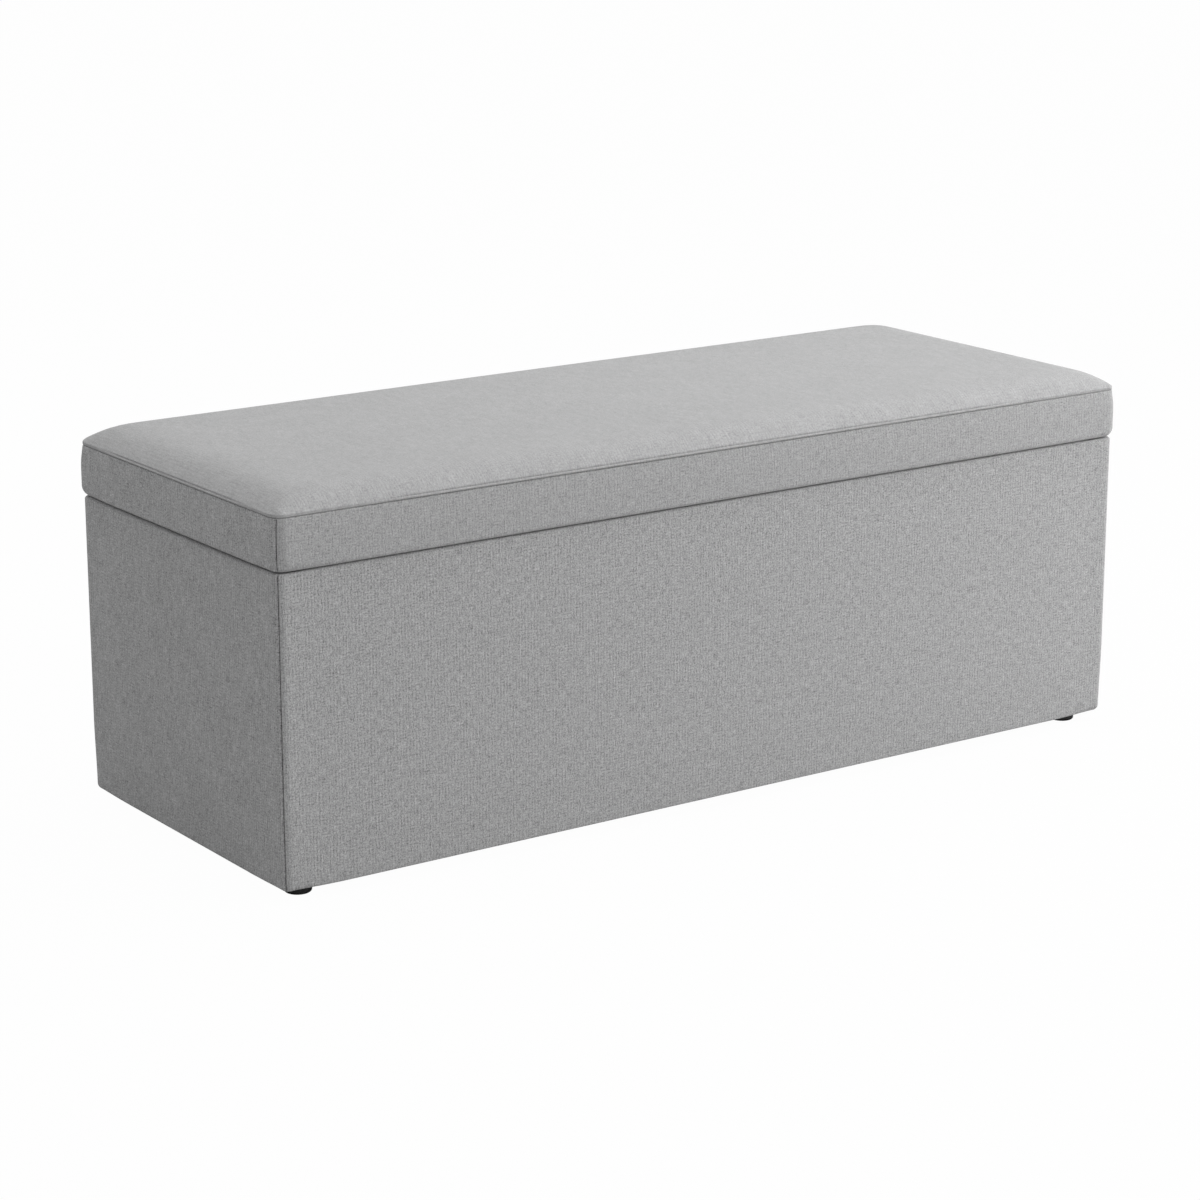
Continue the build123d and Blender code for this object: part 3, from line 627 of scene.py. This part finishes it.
def make_linings():
    """Linings of the lid and the well, and the dust cover under the box."""
    under_lid = flat_lining("lid_lining_sheet", "lid_lining", False, -1.6, 22.0)
    well_floor = flat_lining("well_floor_sheet", "well_lining_floor", True, 0.7, 6.0)
    dust_cover = flat_lining("dust_cover_sheet", "dust_cover", False, -1.8, 24.0)
    made = [
        (*under_lid, "lid", "lining", "lid_board"),
        (*well_floor, "base", "lining", "bottom_board"),
        (*dust_cover, "base", "cambric", "bottom_rail_front"),
        (*wall_lining(), "base", "lining", "base_panel_front"),
    ]
    for piece, flat, body, slot, rest in made:
        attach(piece, body)
        piece.data.materials.append(finishes[slot])


def dress(piece, body, node, material):
    """Makes a cloth panel stand for its CAD node on its body."""
    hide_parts(node)
    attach(piece, body)
    piece.data.materials.append(material)
    thicken(piece, FABRIC)


def make_covers():
    """Every panel of grey cloth. It is one cloth, but its contrast is set apart for top, bands, box and ends as
    painted light: each copy's contrast stands in for how light falls on that panel.
    """
    top = lid_top()
    bands = {side: lid_band(side) for side in SIDES}
    covers = {side: base_cover(side) for side in SIDES}
    run_cloth()
    # Painted light: four copies of one cloth, its contrast lowered on the brightly lit top and raised on the
    # ends, to stand in for how light falls on each panel.
    top_cloth = woven_cloth("heathered_weave_top", 0.42, 0.6)
    dress(top, "lid", "lid_top_panel", top_cloth)
    box_cloth = woven_cloth("heathered_weave", 0.87, 0.2)
    end_cloth = woven_cloth("heathered_weave_ends", 0.95, 1.0)
    band_cloth = woven_cloth("heathered_weave_bands", 0.66, 0.2)
    for side in SIDES:
        long_side = side in ("front", "back")
        piece, flat = bands[side]
        cloth = band_cloth if long_side else end_cloth
        dress(piece, "lid", f"lid_band_{side}", cloth)
        piece, flat = covers[side]
        cloth = box_cloth if long_side else end_cloth
        dress(piece, "base", f"base_cover_{side}", cloth)


# ---- material nodes --------------------------------------------------------------------------


class Shader:
    """A material being put together: each call adds a node and returns its output."""

    def __init__(self, name):
        self.material = bpy.data.materials.new(name)
        self.material.use_nodes = True
        self.tree = self.material.node_tree
        self.surface = self.tree.nodes["Principled BSDF"]

    def node(self, kind, output=0, settings=None, **inputs):
        """Adds a node. An input is named with underscores for spaces, or i0, i1 and so on by number."""
        made = self.tree.nodes.new(f"ShaderNode{kind}")
        for key, value in (settings or {}).items():
            setattr(made, key, value)
        for key, value in inputs.items():
            numbered = key[0] == "i" and key[1:].isdigit()
            socket = made.inputs[int(key[1:]) if numbered else key.replace("_", " ")]
            self.connect(value, socket)
        return made.outputs[output]

    def connect(self, value, socket):
        """Links another node's output, or sets a constant."""
        if isinstance(value, bpy.types.NodeSocket):
            self.tree.links.new(value, socket)
        else:
            socket.default_value = value

    def math(self, operation, a, b=0.0, c=0.0):
        return self.node("Math", settings={"operation": operation}, i0=a, i1=b, i2=c)

    def millimetres(self, coordinates, scale=(1.0, 1.0, 1.0)):
        """Coordinates in metres as millimetres, stretched along each axis."""
        factor = [s / MM for s in scale]
        return self.node("VectorMath", settings={"operation": "MULTIPLY"}, i0=coordinates, i1=factor)

    def noise(self, vector, size=1.0, detail=2.0, roughness=0.5):
        return self.node("TexNoise", Vector=vector, Scale=1.0 / size, Detail=detail, Roughness=roughness)

    def around(self, value, amount):
        """Turns a 0 to 1 value into a swing of amount either side of nothing."""
        return self.math("MULTIPLY_ADD", value, 2 * amount, -amount)

    def total(self, first, *others):
        """Sum of values or outputs."""
        for other in others:
            first = self.math("ADD", first, other)
        return first

    def tint(self, colour, factor):
        return self.node("VectorMath", settings={"operation": "SCALE"}, i0=colour, Scale=factor)

    def bump(self, height, depth):
        """Relief of the given depth in millimetres for heights from 0 to 1."""
        return self.node("Bump", Strength=1.0, Distance=depth * MM, Height=height)

    def finish(self, **inputs):
        """Sets the surface and gives back the material."""
        for key, value in inputs.items():
            self.connect(value, self.surface.inputs[key.replace("_", " ")])
        return self.material


def ridge(shader, coordinate, pitch):
    """A row of round threads across a coordinate in millimetres, 0 to 1."""
    turned = shader.math("MULTIPLY", coordinate, math.pi / pitch)
    return shader.math("ABSOLUTE", shader.math("COSINE", turned))


WEAVE_PITCH, RIB_PITCH = 1.1, 4.1  # between single threads, and between the heavier ones that read as ribs
WANDER, WANDER_SIZE = 0.9, 9.0  # how far the threads stray from straight, and over what length
GREY = (0.357, 0.357, 0.359)


def woven_cloth(name, contrast, mottle):
    """Heathered grey weave with slubs. contrast scales its yarns, mottle its broader streaks."""
    s = Shader(name)
    uv = s.node("UVMap", settings={"uv_map": "weave"})
    flat = s.millimetres(uv)
    wander = s.tint((WANDER, WANDER, 0.0), s.noise(flat, WANDER_SIZE, 1.0))
    place = s.node("VectorMath", settings={"operation": "ADD"}, i0=flat, i1=wander)
    axes = s.node("SeparateXYZ", Vector=place)
    across, along = axes, axes.node.outputs[1]
    warp, weft = ridge(s, across, WEAVE_PITCH), ridge(s, along, WEAVE_PITCH)
    check_a = s.math("SINE", s.math("MULTIPLY", across, math.pi / WEAVE_PITCH))
    check_b = s.math("SINE", s.math("MULTIPLY", along, math.pi / WEAVE_PITCH))
    over = s.math("MULTIPLY_ADD", s.math("MULTIPLY", check_a, check_b), 0.5, 0.5)
    thread = s.node("Mix", i0=over, i2=warp, i3=weft)
    slub_up = s.noise(s.millimetres(uv, (1 / 2.0, 1 / 11.0, 1)), 1.0, 2.0, 0.6)
    slub_over = s.noise(s.millimetres(uv, (1 / 12.0, 1 / 2.2, 1)), 1.0, 2.0, 0.6)
    speck = s.noise(s.millimetres(uv, (1 / 1.45, 1 / 1.8, 1)), 1.0, 1.0)
    rib = s.math("SINE", s.math("MULTIPLY", across, 2 * math.pi / RIB_PITCH))
    rib = s.math("MULTIPLY", rib, s.noise(s.millimetres(uv, (1 / 14.0, 1 / 40.0, 1)), 1.0, 1.0))
    streak = s.noise(s.millimetres(uv, (1 / 9.0, 1 / 26.0, 1)), 1.0, 2.0, 0.6)
    cloud = s.noise(flat, 70.0, 2.0)
    factor = s.total(
        s.around(slub_up, 0.55 * contrast),
        s.around(slub_over, 0.36 * contrast),
        s.around(speck, 0.95 * contrast),
        s.math("MULTIPLY", rib, 0.16 * contrast),
        s.around(streak, 0.2 * mottle),
        s.around(cloud, 0.1 * mottle),
        s.around(thread, 0.10),
        1.0,
    )
    height = s.total(
        s.math("MULTIPLY", thread, 0.6),
        s.math("MULTIPLY", slub_up, 0.5),
        s.math("MULTIPLY", slub_over, 0.35),
    )
    return s.finish(
        Base_Color=s.tint(GREY, factor),
        Roughness=0.92,
        Specular_IOR_Level=0.25,
        Sheen_Weight=0.12,
        Sheen_Roughness=0.6,
        Normal=s.bump(height, 0.28),
    )


def object_place(s):
    """The piece's own coordinates, in metres."""
    return s.node("TexCoord", output=3)


def felt(name, colour, dimple):
    """Spun-bonded lining: matted fibres with a fine grid of dimples."""
    s = Shader(name)
    place = s.millimetres(object_place(s))
    fibre = s.noise(place, 1.4, 4.0, 0.7)
    cells = s.node("TexVoronoi", Vector=place, Scale=1.0 / dimple)
    height = s.math("MULTIPLY_ADD", fibre, 0.6, cells)
    return s.finish(
        Base_Color=s.tint(colour, s.total(s.around(fibre, 0.35), 1.0)),
        Roughness=0.95,
        Specular_IOR_Level=0.2,
        Normal=s.bump(height, 0.18),
    )


def plywood(name, colour):
    """Planed pale wood with long grain along X."""
    s = Shader(name)
    grain = s.noise(s.millimetres(object_place(s), (1 / 260.0, 1 / 7.0, 1 / 7.0)), 1.0, 5.0, 0.6)
    pore = s.noise(s.millimetres(object_place(s), (1 / 14.0, 1 / 0.7, 1 / 0.7)), 1.0, 2.0)
    return s.finish(
        Base_Color=s.tint(colour, s.total(s.around(grain, 0.3), s.around(pore, 0.12), 1.0)),
        Roughness=0.7,
        Normal=s.bump(pore, 0.08),
    )


def open_foam(name, colour, pore):
    """Cut foam or wadding with open cells."""
    s = Shader(name)
    cells = s.node("TexVoronoi", Vector=s.millimetres(object_place(s)), Scale=1.0 / pore)
    return s.finish(
        Base_Color=s.tint(colour, s.math("MULTIPLY_ADD", cells, 0.2, 0.85)),
        Roughness=1.0,
        Normal=s.bump(cells, 0.3),
    )


def plated(name, colour, roughness):
    """Plated steel with faint rolling lines."""
    s = Shader(name)
    lines = s.noise(s.millimetres(object_place(s), (1 / 12.0, 1 / 0.25, 1 / 0.25)), 1.0, 2.0)
    return s.finish(
        Base_Color=s.tint(colour, s.total(s.around(lines, 0.12), 1.0)),
        Metallic=1.0,
        Roughness=s.math("MULTIPLY_ADD", lines, 0.15, roughness),
        Normal=s.bump(lines, 0.01),
    )


def moulded(name, colour, roughness, grain):
    """Moulded plastic or paint with a fine skin texture."""
    s = Shader(name)
    skin = s.noise(s.millimetres(object_place(s)), grain, 3.0)
    return s.finish(
        Base_Color=s.tint(colour, s.total(s.around(skin, 0.15), 1.0)),
        Roughness=s.math("MULTIPLY_ADD", skin, 0.15, roughness),
        Normal=s.bump(skin, 0.03),
    )


def paint_node(name, material):
    """Gives a CAD node a material without changing its mesh."""
    for material_slot in NODES[name].material_slots:
        material_slot.link = "OBJECT"
        material_slot.material = material


def finish_hardware():
    """Finishes by material slot, put on the CAD nodes."""
    finishes = {
        "board": plywood("ply_board", (0.60, 0.44, 0.27)),
        "timber": plywood("softwood", (0.68, 0.50, 0.31)),
        "foam": open_foam("cut_foam", (0.80, 0.74, 0.52), 0.9),
        "wadding": open_foam("wadding", (0.86, 0.86, 0.86), 2.5),
        "lining": felt("lining_felt", (0.055, 0.055, 0.058), 1.6),
        "cambric": felt("dust_cloth", (0.035, 0.035, 0.037), 1.2),
        "glide": moulded("glide_plastic", (0.012, 0.012, 0.013), 0.38, 0.5),
        "hinge": plated("nickel_plate", (0.62, 0.60, 0.56), 0.28),
        "fixing": plated("zinc_plate", (0.58, 0.57, 0.54), 0.35),
        "staple": plated("staple_wire", (0.60, 0.60, 0.60), 0.3),
        "damper": moulded("damper_plastic", (0.02, 0.02, 0.022), 0.5, 0.4),
        "stay": moulded("stay_paint", (0.03, 0.03, 0.033), 0.42, 0.3),
        "bumper": moulded("bumper_rubber", (0.015, 0.015, 0.015), 0.7, 0.6),
    }
    for part in frame["record"]["subparts"]:
        if part["material_slot"] in finishes:
            paint_node(part["node"], finishes[part["material_slot"]])
    return finishes


# ---- camera, light, floor --------------------------------------------------------------------
CAMERA_PLACE = (-2.2630, -3.1971, 1.2529)
CAMERA_PITCH, CAMERA_YAW = 15.042, -34.993
LENS, SENSOR = 100.31, 36.0
AMBIENT = 0.560  # strength of the white surroundings
FLOOR_GREY, FLOOR_WHITE = 0.5, 0.98  # the floor's colour to the light, and how white the camera sees it


def add_camera():
    """Camera at the front left, looking a little down."""
    camera = bpy.data.cameras.new("camera")
    camera.lens = LENS
    camera.sensor_width = SENSOR
    holder = bpy.data.objects.new("camera", camera)
    holder.location = CAMERA_PLACE
    holder.rotation_euler = Euler((math.radians(90 - CAMERA_PITCH), 0, math.radians(CAMERA_YAW)))
    bpy.context.scene.collection.objects.link(holder)
    bpy.context.scene.camera = holder


def add_light(name, kind, place, target, power, size):
    """A light aimed at a target. size is an area's side in metres, or a sun's spread in degrees."""
    light = bpy.data.lights.new(name, kind)
    light.energy = power
    if kind == "AREA":
        light.shape = "SQUARE"
        light.size = size
    else:
        light.angle = math.radians(size)
    holder = bpy.data.objects.new(name, light)
    holder.location = place
    aim = Vector(target) - Vector(place)
    holder.rotation_euler = aim.to_track_quat("-Z", "Y").to_euler()
    bpy.context.scene.collection.objects.link(holder)


def add_floor():
    """Floor that is grey to the light and near white to the camera, with a faint shadow left in it."""
    bpy.ops.mesh.primitive_plane_add(size=60.0)
    floor = bpy.context.object
    floor.name = "floor"
    s = Shader("pale_floor")
    s.finish(Base_Color=(FLOOR_GREY, FLOOR_GREY, FLOOR_GREY, 1.0), Roughness=1.0, Specular_IOR_Level=0.0)
    glow = s.node("Emission", Color=(1.0, 1.0, 1.0, 1.0), Strength=1.0)
    seen = s.node("LightPath")
    share = s.math("MULTIPLY", seen, FLOOR_WHITE)
    mixed = s.node("MixShader", i0=share, i1=s.surface.outputs[0], i2=glow)
    s.connect(mixed, s.tree.nodes["Material Output"].inputs["Surface"])
    floor.data.materials.append(s.material)


def add_world(ambient):
    """Even white surroundings."""
    world = bpy.data.worlds.new("studio")
    world.use_nodes = True
    tree = world.node_tree
    background = tree.nodes["Background"]
    background.inputs["Color"].default_value = (1.0, 1.0, 1.0, 1.0)
    background.inputs["Strength"].default_value = ambient
    bpy.context.scene.world = world


def add_studio():
    """Bright shadowless studio, a little stronger from the right."""
    add_floor()
    add_world(AMBIENT)
    add_light("overhead", "SUN", (0.6, -0.8, 4.0), (0, 0, 0), 0.7, 60.0)
    add_light("right_window", "AREA", (2.6, -1.0, 1.2), (0.2, 0, 0.25), 43.0, 1.6)
    add_light("front_fill", "AREA", (1.3, -2.4, 0.9), (0.3, 0, 0.25), 15.0, 1.2)
    add_light("top_fill", "AREA", (0.5, 0.1, 2.4), (0.0, 0, 0.4), 14.0, 1.6)
    add_light("back_fill", "AREA", (-0.8, 2.8, 0.9), (0, 0, 0.25), 12.0, 1.4)
    bpy.context.scene.view_settings.view_transform = "Standard"


# ---- assembly --------------------------------------------------------------------------------
add_camera()
finishes = finish_hardware()
make_covers()
make_padding()
make_linings()
add_studio()
